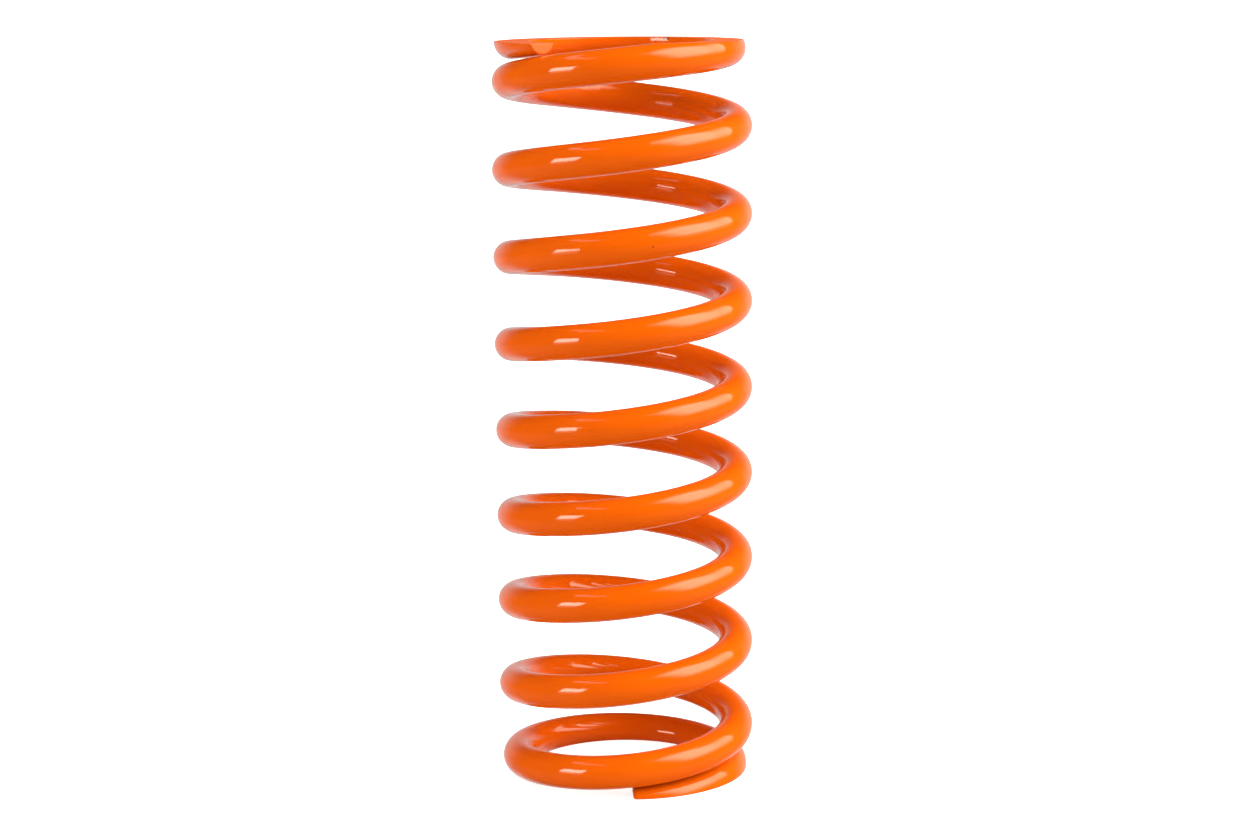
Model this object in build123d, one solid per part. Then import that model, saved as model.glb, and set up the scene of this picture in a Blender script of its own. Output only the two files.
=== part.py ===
"""Shock absorber spring: one round wire wound right-handed into a compression spring.

Both end turns are closed, so that each cut tip lies on the turn beside it, and both ends are
ground flat and square to the axis. The axis is Z, the origin is the centre of the lower seat,
and the lower tip is at the front, towards -Y.
"""

import os
from dataclasses import dataclass
from math import cos, pi, radians, sin, sqrt

from build123d import *

# Wire and coil, in millimetres, turns and degrees
wire_diameter = 11.5
inner_diameter = 64.5
free_length = 250.0
total_turns = 9.865
lower_tip_angle = 273.6
tip_clearance = 0.4

# Lower end: what grinding leaves of the wire at the tip, how soon the tip levels out from the
# slope of the turn that it lies on, how far the turns stay closed and how soon they open, how
# far the end turn is drawn in and over how much of it, how far the tip itself is tucked in,
# and the rounding of the cut's rim
lower_tip_thickness = 3.0
lower_settling_turns = 0.31
lower_closed_turns = 0.48
lower_opening_turns = 0.84
lower_draw_in = 3.1
lower_drawn_turns = 0.93
lower_tip_inset = 2.0
lower_tip_rounding = 1.2

# Upper end, in the same order
upper_tip_thickness = 3.7
upper_settling_turns = 0.17
upper_closed_turns = 0.35
upper_opening_turns = 0.79
upper_draw_in = 2.2
upper_drawn_turns = 1.29
upper_tip_inset = 1.5
upper_tip_rounding = 0.4

# The stretch, in turns, over which a tucked-in tip comes back out
tucked_turns = 0.35

# How finely the centre line is laid out: steps in each turn, and the small step, in turns,
# over which its direction is taken
steps_per_turn = 6
direction_step = 0.001

wire_radius = wire_diameter / 2
coil_radius = (inner_diameter + wire_diameter) / 2
closed_rise = wire_diameter + tip_clearance


def ramp(x):
    """A smooth step from 0 to 1 as x goes from 0 to 1."""
    x = min(max(x, 0.0), 1.0)
    return 3 * x**2 - 2 * x**3


def summed_ramp(x):
    """The same step, summed up from 0 to x."""
    inside = min(max(x, 0.0), 1.0)
    beyond = max(x - 1.0, 0.0)
    return inside**3 - inside**4 / 2 + beyond


@dataclass
class End:
    """One closed and ground end. Its turns are counted from its own tip."""

    settling_turns: float
    closed_turns: float
    opening_turns: float
    draw_in: float
    drawn_turns: float
    tip_inset: float

    @property
    def slope_beside_tip(self):
        """How far the turn beside the tip has opened, from 0 when closed to 1 at full pitch."""
        return ramp((1 - self.closed_turns) / self.opening_turns)

    def opened(self, turns):
        """How many turns' worth of the full pitch has opened up by now."""
        settled = turns - self.settling_turns * summed_ramp(turns / self.settling_turns)
        opening = self.opening_turns * summed_ramp((turns - self.closed_turns) / self.opening_turns)
        return self.slope_beside_tip * settled + opening

    @property
    def slow_turns(self):
        """The turns at the closed pitch that climb as far as this end's whole slow stretch."""
        settling = self.slope_beside_tip * self.settling_turns / 2
        return (self.closed_turns + self.opening_turns / 2 - settling) / (1 - self.opened(1.0))

    def rise(self, turns):
        """How far the centre line has climbed. The first turn clears the tip's wire."""
        closed_pitch = (closed_rise - active_pitch * self.opened(1.0)) / (1 - self.opened(1.0))
        return closed_pitch * turns + (active_pitch - closed_pitch) * self.opened(turns)

    def inset(self, turns):
        """How far the end turn and its tip are drawn in towards the axis."""
        drawn = min(turns / self.drawn_turns, 1.0)
        tucked = 1 - ramp(turns / tucked_turns)
        return self.draw_in * sin(pi * drawn) ** 2 + self.tip_inset * tucked


lower_end = End(
    settling_turns=lower_settling_turns,
    closed_turns=lower_closed_turns,
    opening_turns=lower_opening_turns,
    draw_in=lower_draw_in,
    drawn_turns=lower_drawn_turns,
    tip_inset=lower_tip_inset,
)
upper_end = End(
    settling_turns=upper_settling_turns,
    closed_turns=upper_closed_turns,
    opening_turns=upper_opening_turns,
    draw_in=upper_draw_in,
    drawn_turns=upper_drawn_turns,
    tip_inset=upper_tip_inset,
)

# The tips' centres follow from the grinding, and the pitch from the length that is left
lower_tip_z = lower_tip_thickness - wire_radius
upper_tip_z = free_length - upper_tip_thickness + wire_radius
slow_turns = lower_end.slow_turns + upper_end.slow_turns
active_pitch = (upper_tip_z - lower_tip_z - closed_rise * slow_turns) / (total_turns - slow_turns)


def height(turn):
    """Height of the centre line, with turns counted from the lower tip."""
    if turn < total_turns / 2:
        return lower_tip_z + lower_end.rise(turn)
    return upper_tip_z - upper_end.rise(total_turns - turn)


def centre(turn):
    """Point of the wire's centre line, which winds anticlockwise as it climbs."""
    angle = radians(lower_tip_angle) + 2 * pi * turn
    radius = coil_radius - lower_end.inset(turn) - upper_end.inset(total_turns - turn)
    return Vector(radius * cos(angle), radius * sin(angle), height(turn))


def direction(turn):
    """Unit vector along the wire."""
    return (centre(turn + direction_step) - centre(turn - direction_step)).normalized()


def tangent_arcs(start, end):
    """Two arcs that join two places on the centre line and leave both along it."""
    first, last = centre(start), centre(end)
    along_first, along_last = direction(start), direction(end)
    chord = last - first
    along = chord.dot(along_first + along_last)
    bend = 2 * (1 - along_first.dot(along_last))
    reach = (sqrt(along**2 + bend * chord.dot(chord)) - along) / bend
    near = first + along_first * reach
    far = last - along_last * reach
    joint = (near + far) * 0.5
    return [
        Edge.make_tangent_arc(first, along_first, joint),
        Edge.make_tangent_arc(joint, far - near, last),
    ]


def coiled_wire():
    """The wire as coiled and cut off, before its ends are rounded and ground."""
    steps = round(total_turns * steps_per_turn)
    stations = [total_turns * step / steps for step in range(steps + 1)]
    arcs = []
    for start, end in zip(stations, stations[1:]):
        arcs += tangent_arcs(start, end)
    path = Wire(arcs)
    section = Plane(origin=path @ 0, z_dir=path % 0) * Circle(wire_radius)
    return sweep(section, path=path)


def round_tips(wire):
    """Rounds the rim of the square cut at each tip."""
    for turn, rounding in ((0.0, lower_tip_rounding), (total_turns, upper_tip_rounding)):
        cuts = wire.faces().filter_by(GeomType.PLANE)
        cut = min(cuts, key=lambda face: (face.center() - centre(turn)).length)
        wire = fillet(cut.edges(), rounding)
    return wire


def ground(wire):
    """Cuts both ends flat and square to the axis."""
    reach = inner_diameter + 4 * wire_diameter
    between_seats = Box(reach, reach, free_length, align=(Align.CENTER, Align.CENTER, Align.MIN))
    return wire & between_seats


spring = ground(round_tips(coiled_wire()))

os.makedirs("parts", exist_ok=True)
export_step(spring, "parts/coil_spring.step")

print(f"active pitch {active_pitch:.2f} mm, outer diameter {inner_diameter + 2 * wire_diameter:.1f} mm")
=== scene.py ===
"""Looks of the shock absorber spring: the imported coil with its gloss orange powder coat,
a pale floor, soft studio light and the photograph's camera. Units are metres."""

import math

import bpy
from mathutils import Matrix, Vector

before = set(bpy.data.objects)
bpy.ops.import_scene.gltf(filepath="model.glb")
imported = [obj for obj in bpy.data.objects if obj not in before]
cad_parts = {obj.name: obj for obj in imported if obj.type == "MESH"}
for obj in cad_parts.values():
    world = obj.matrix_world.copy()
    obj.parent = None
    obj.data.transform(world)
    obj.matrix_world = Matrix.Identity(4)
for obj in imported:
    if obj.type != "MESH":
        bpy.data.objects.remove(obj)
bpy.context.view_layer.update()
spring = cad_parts["coil_spring"]

# The spring's free length, as in the part
free_length = 0.250
half_length = free_length / 2
middle = Vector((0.0, 0.0, half_length))

# Brightness of the two softboxes, then of the soft light from the right, from the left, from
# above and from all round, and of the room that the coating mirrors
window_light = 12.5
softbox_light = 6.4
right_light = 3.6
left_light = 1.5
above_light = 0.1
even_light = 0.18
room_light = 0.85

# The coating where it is deeper and where it is lighter in tone
deep_orange = (0.61, 0.083, 0.001, 1.0)
light_orange = (0.65, 0.099, 0.001, 1.0)

# Its roughness: the least of it, how much it wanders, and how much duller the ground faces are
least_roughness = 0.04
uneven_roughness = 0.05
ground_roughness = 0.6

# Marks in the coating: a speck on the front of a turn, and two spots of a chip on the upper rim.
# Each is solid within its first radius and gone beyond its second.
mark_colour = (0.05, 0.012, 0.004, 1.0)
speck_place = (0.0098, -0.0426, 0.1853)
speck_radii = (0.0001, 0.0005)
speck_strength = 0.75
chip_places = ((0.0148, 0.0267, 0.2498), (0.0160, 0.0260, 0.2498))
chip_radii = (0.0004, 0.0008)
chip_strength = 0.9

# The floor's half width, and how far it lies below the seat so that the two don't meet
floor_half = 30.0
floor_drop = 0.0002

# The photograph's camera: where it stands, how far it looks down, how far it leans, and its
# focal length in pixels of the 1248 pixel wide image
camera_distance = 0.9316
camera_height = 0.2798
camera_pitch = 0.1668
camera_lean = -0.0078
focal_pixels = 2770.2
image_width = 1248
sensor_width = 36.0


def make_camera():
    data = bpy.data.cameras.new("camera")
    data.sensor_fit = "HORIZONTAL"
    data.sensor_width = sensor_width
    data.lens = focal_pixels / image_width * sensor_width
    data.clip_start = 0.05
    data.clip_end = 60.0
    camera = bpy.data.objects.new("camera", data)
    bpy.context.collection.objects.link(camera)
    ahead = Vector((0.0, math.cos(camera_pitch), -math.sin(camera_pitch)))
    level = Vector((1.0, 0.0, 0.0))
    over = level.cross(ahead)
    right = level * math.cos(camera_lean) + over * math.sin(camera_lean)
    up = over * math.cos(camera_lean) - level * math.sin(camera_lean)
    turn = Matrix((right, up, -ahead)).transposed().to_4x4()
    camera.matrix_world = Matrix.Translation((0.0, -camera_distance, camera_height)) @ turn
    bpy.context.scene.camera = camera
    bpy.context.scene.view_settings.view_transform = "Standard"


def node(tree, kind, **inputs):
    """Adds a node and sets its inputs by name."""
    made = tree.nodes.new(kind)
    for name, value in inputs.items():
        made.inputs[name.replace("_", " ")].default_value = value
    return made


def maths(tree, operation, first, second=None, third=None):
    """Adds a Math node. Each operand is a number or an output."""
    made = tree.nodes.new("ShaderNodeMath")
    made.operation = operation
    for socket, value in zip(made.inputs, (first, second, third)):
        if value is None:
            continue
        if isinstance(value, (int, float)):
            socket.default_value = value
        else:
            tree.links.new(value, socket)
    return made.outputs[0]


def smooth(tree, value, low, high):
    """A smooth step from 0 at low to 1 at high. Low may be the larger one."""
    made = tree.nodes.new("ShaderNodeMapRange")
    made.interpolation_type = "SMOOTHSTEP"
    rising = low < high
    made.inputs["From Min"].default_value = low if rising else high
    made.inputs["From Max"].default_value = high if rising else low
    made.inputs["To Min"].default_value = 0.0 if rising else 1.0
    made.inputs["To Max"].default_value = 1.0 if rising else 0.0
    tree.links.new(value, made.inputs["Value"])
    return made.outputs["Result"]


def product(tree, *factors):
    """Multiplies several outputs or numbers."""
    result = factors[0]
    for factor in factors[1:]:
        result = maths(tree, "MULTIPLY", result, factor)
    return result


def separate(tree, vector):
    """Splits a vector into its three parts."""
    split = tree.nodes.new("ShaderNodeSeparateXYZ")
    tree.links.new(vector, split.inputs[0])
    return split.outputs


def make_world():
    """White to the camera. The coating mirrors a pale table and backdrop behind the spring and
    a dim room in front, and the rest is soft light from above and from both sides."""
    world = bpy.data.worlds.new("studio")
    bpy.context.scene.world = world
    world.use_nodes = True
    tree = world.node_tree
    tree.nodes.clear()
    place = tree.nodes.new("ShaderNodeTexCoord")
    x, y, z = separate(tree, place.outputs["Generated"])

    # What the coating mirrors, with the bright edge of a lamp high on the left
    backdrop = product(tree, smooth(tree, y, 0.45, 0.92), smooth(tree, z, 0.5, 0.1), 0.75)
    table = product(tree, smooth(tree, y, 0.3, 0.75), smooth(tree, z, -0.35, -0.6), 0.6)
    beside = smooth(tree, maths(tree, "ABSOLUTE", x), 0.3, 0.9)
    low_light = maths(tree, "MULTIPLY_ADD", beside, 0.12, 0.05)
    below = product(tree, smooth(tree, z, 0.02, -0.25), low_light)
    edge_height = product(tree, smooth(tree, z, 0.84, 0.86), smooth(tree, z, 0.91, 0.89))
    edge = product(tree, edge_height, smooth(tree, x, -0.3, -0.36))
    mirrored = maths(tree, "MULTIPLY_ADD", edge, 2.0, 0.02)
    for part in (backdrop, table, below):
        mirrored = maths(tree, "ADD", mirrored, part)

    # What lights it
    right = smooth(tree, x, 0.4, 0.95)
    left = smooth(tree, x, -0.3, -0.9)
    above = smooth(tree, z, 0.5, 1.0)
    soft = maths(tree, "MULTIPLY_ADD", right, right_light, even_light)
    soft = maths(tree, "MULTIPLY_ADD", left, left_light, soft)
    soft = maths(tree, "MULTIPLY_ADD", above, above_light, soft)

    ray = tree.nodes.new("ShaderNodeLightPath")
    sharp = tree.nodes.new("ShaderNodeMix")
    tree.links.new(ray.outputs["Is Glossy Ray"], sharp.inputs["Factor"])
    tree.links.new(soft, sharp.inputs["A"])
    tree.links.new(product(tree, mirrored, room_light), sharp.inputs["B"])
    studio = node(tree, "ShaderNodeBackground", Color=(1.0, 1.0, 1.0, 1.0))
    tree.links.new(sharp.outputs["Result"], studio.inputs["Strength"])
    white = node(tree, "ShaderNodeBackground", Color=(1.0, 1.0, 1.0, 1.0), Strength=1.0)
    mix = tree.nodes.new("ShaderNodeMixShader")
    tree.links.new(ray.outputs["Is Camera Ray"], mix.inputs[0])
    tree.links.new(studio.outputs[0], mix.inputs[1])
    tree.links.new(white.outputs[0], mix.inputs[2])
    out = tree.nodes.new("ShaderNodeOutputWorld")
    tree.links.new(mix.outputs[0], out.inputs["Surface"])


def make_light(name, azimuth, elevation, distance, size, radiance, colour, pattern):
    """A square softbox that faces the spring. Azimuth 0 is at the camera and 90 to its right.
    The pattern gives its brightness from the metres right of its centre and above it."""
    data = bpy.data.lights.new(name, "AREA")
    data.shape = "SQUARE"
    data.size = size
    data.energy = radiance * math.pi * size**2
    data.color = colour
    lamp = bpy.data.objects.new(name, data)
    bpy.context.collection.objects.link(lamp)
    a, e = math.radians(azimuth), math.radians(elevation)
    away = Vector((math.sin(a) * math.cos(e), -math.cos(a) * math.cos(e), math.sin(e)))
    turn = away.to_track_quat("Z", "Y")
    lamp.location = middle + away * distance
    lamp.rotation_mode = "QUATERNION"
    lamp.rotation_quaternion = turn
    data.use_nodes = True
    tree = data.node_tree
    tree.nodes.clear()
    where = tree.nodes.new("ShaderNodeNewGeometry")
    offset = tree.nodes.new("ShaderNodeVectorMath")
    offset.operation = "SUBTRACT"
    tree.links.new(where.outputs["Position"], offset.inputs[0])
    offset.inputs[1].default_value = lamp.location
    along = []
    for axis in (Vector((1.0, 0.0, 0.0)), Vector((0.0, 1.0, 0.0))):
        dot = tree.nodes.new("ShaderNodeVectorMath")
        dot.operation = "DOT_PRODUCT"
        tree.links.new(offset.outputs[0], dot.inputs[0])
        dot.inputs[1].default_value = turn @ axis
        along.append(dot.outputs["Value"])
    glow = node(tree, "ShaderNodeEmission", Color=(1.0, 1.0, 1.0, 1.0))
    tree.links.new(pattern(tree, *along), glow.inputs["Strength"])
    out = tree.nodes.new("ShaderNodeOutputLight")
    tree.links.new(glow.outputs[0], out.inputs["Surface"])


def window_pattern(tree, across, up):
    """Sharp at the sides and the top, and dimmer in its lower half."""
    sides = product(tree, smooth(tree, across, -0.36, -0.29), smooth(tree, across, 0.28, 0.21))
    ends = product(tree, smooth(tree, up, 0.3, 0.25), smooth(tree, up, -0.5, -0.35))
    lit = maths(tree, "MULTIPLY_ADD", smooth(tree, up, -0.22, -0.1), 0.85, 0.15)
    return product(tree, sides, ends, lit)


def softbox_pattern(tree, across, up):
    """Feathered, with a high lobe on its left and a lower, dimmer one on its right."""
    slope = smooth(tree, across, 0.05, 0.5)
    top = maths(tree, "MULTIPLY_ADD", slope, 0.5, up)
    sides = product(tree, smooth(tree, across, -1.0, -0.35), smooth(tree, across, 0.95, 0.8))
    ends = product(tree, smooth(tree, top, 1.08, 0.5), smooth(tree, up, -0.9, -0.2))
    lit = maths(tree, "MULTIPLY_ADD", slope, -0.35, 1.0)
    return product(tree, sides, ends, lit)


def make_floor():
    """A white floor that keeps a faint shadow of the spring. It is a little darker in front."""
    mesh = bpy.data.meshes.new("floor")
    corners = [
        (-floor_half, -floor_half, 0),
        (floor_half, -floor_half, 0),
        (floor_half, floor_half, 0),
        (-floor_half, floor_half, 0),
    ]
    mesh.from_pydata(corners, [], [(0, 1, 2, 3)])
    floor = bpy.data.objects.new("floor", mesh)
    bpy.context.collection.objects.link(floor)
    floor.location.z = -floor_drop
    material = bpy.data.materials.new("floor")
    material.use_nodes = True
    tree = material.node_tree
    tree.nodes.clear()
    paint = node(tree, "ShaderNodeBsdfDiffuse")
    lift = node(tree, "ShaderNodeEmission", Color=(1.0, 1.0, 1.0, 1.0))
    ray = tree.nodes.new("ShaderNodeLightPath")
    place = tree.nodes.new("ShaderNodeTexCoord").outputs["Object"]
    behind = smooth(tree, separate(tree, place)["Y"], -0.15, 0.1)
    tree.links.new(maths(tree, "MULTIPLY_ADD", behind, 0.35, 0.55), paint.inputs["Color"])
    away = tree.nodes.new("ShaderNodeVectorMath")
    away.operation = "LENGTH"
    tree.links.new(place, away.inputs[0])
    far = smooth(tree, away.outputs["Value"], 0.1, 0.5)
    white = maths(tree, "MULTIPLY_ADD", far, 0.25, 0.75)
    tree.links.new(product(tree, ray.outputs["Is Camera Ray"], white), lift.inputs["Strength"])
    add = tree.nodes.new("ShaderNodeAddShader")
    tree.links.new(paint.outputs[0], add.inputs[0])
    tree.links.new(lift.outputs[0], add.inputs[1])
    out = tree.nodes.new("ShaderNodeOutputMaterial")
    tree.links.new(add.outputs[0], out.inputs["Surface"])
    mesh.materials.append(material)
    floor.visible_glossy = False


def near(tree, place, spot, radii):
    """1 within the first radius of a spot, and 0 beyond the second."""
    solid_radius, outer_radius = radii
    away = tree.nodes.new("ShaderNodeVectorMath")
    away.operation = "DISTANCE"
    tree.links.new(place, away.inputs[0])
    away.inputs[1].default_value = spot
    return smooth(tree, away.outputs["Value"], outer_radius, solid_radius)


def mixed_colour(tree, factor, first, second):
    """A mix of two colours. The first is a colour or an output."""
    mix = tree.nodes.new("ShaderNodeMix")
    mix.data_type = "RGBA"
    tree.links.new(factor, mix.inputs["Factor"])
    if isinstance(first, tuple):
        mix.inputs["A"].default_value = first
    else:
        tree.links.new(first, mix.inputs["A"])
    mix.inputs["B"].default_value = second
    return mix.outputs["Result"]


def make_coating():
    """Gloss orange powder coat: faint orange peel, a little uneven in tone, and duller on the
    ground faces. Its marks are one dark speck and a chipped spot on the upper rim."""
    material = bpy.data.materials.new("coating")
    material.use_nodes = True
    tree = material.node_tree
    tree.nodes.clear()
    paint = node(tree, "ShaderNodeBsdfPrincipled", IOR=1.5)
    place = tree.nodes.new("ShaderNodeTexCoord").outputs["Object"]
    shape = tree.nodes.new("ShaderNodeNewGeometry")

    tone = node(tree, "ShaderNodeTexNoise", Scale=70.0, Detail=3.0, Roughness=0.5)
    tree.links.new(place, tone.inputs["Vector"])
    colour = mixed_colour(tree, tone.outputs[0], deep_orange, light_orange)
    speck = near(tree, place, speck_place, speck_radii)
    chip = maths(tree, "MAXIMUM", *(near(tree, place, spot, chip_radii) for spot in chip_places))
    speck = product(tree, speck, speck_strength)
    marks = maths(tree, "MAXIMUM", speck, product(tree, chip, chip_strength))
    colour = mixed_colour(tree, marks, colour, mark_colour)
    tree.links.new(colour, paint.inputs["Base Color"])

    # Ground faces: level, and within a fraction of a millimetre of either seat
    upward = maths(tree, "ABSOLUTE", separate(tree, shape.outputs["Normal"])["Z"])
    flat = smooth(tree, upward, 0.995, 0.9995)
    from_middle = maths(tree, "SUBTRACT", separate(tree, place)["Z"], half_length)
    from_middle = maths(tree, "ABSOLUTE", from_middle)
    at_seat = smooth(tree, from_middle, half_length - 0.0003, half_length - 0.0001)
    ground = product(tree, flat, at_seat)
    gloss = node(tree, "ShaderNodeTexNoise", Scale=110.0, Detail=2.0)
    tree.links.new(place, gloss.inputs["Vector"])
    roughness = maths(tree, "MULTIPLY_ADD", gloss.outputs[0], uneven_roughness, least_roughness)
    roughness = maths(tree, "MULTIPLY_ADD", ground, ground_roughness, roughness)
    tree.links.new(roughness, paint.inputs["Roughness"])

    # Orange peel, over rims that catch the light
    peel = node(tree, "ShaderNodeTexNoise", Scale=330.0, Detail=2.0, Roughness=0.4)
    tree.links.new(place, peel.inputs["Vector"])
    bump = node(tree, "ShaderNodeBump", Strength=0.025, Distance=0.0001)
    tree.links.new(peel.outputs[0], bump.inputs["Height"])
    rim = node(tree, "ShaderNodeBevel", Radius=0.0005)
    rim.samples = 6
    tree.links.new(rim.outputs[0], bump.inputs["Normal"])
    tree.links.new(bump.outputs[0], paint.inputs["Normal"])
    out = tree.nodes.new("ShaderNodeOutputMaterial")
    tree.links.new(paint.outputs[0], out.inputs["Surface"])
    return material


make_camera()
make_world()
make_floor()
make_light(
    "window",
    azimuth=-51.8,
    elevation=12.7,
    distance=1.436,
    size=1.2,
    radiance=window_light,
    colour=(1.0, 0.86, 0.74),
    pattern=window_pattern,
)
make_light(
    "softbox",
    azimuth=78.0,
    elevation=38.5,
    distance=1.346,
    size=2.1,
    radiance=softbox_light,
    colour=(1.0, 0.93, 0.72),
    pattern=softbox_pattern,
)

coating = make_coating()
for slot in spring.material_slots:
    slot.material = coating
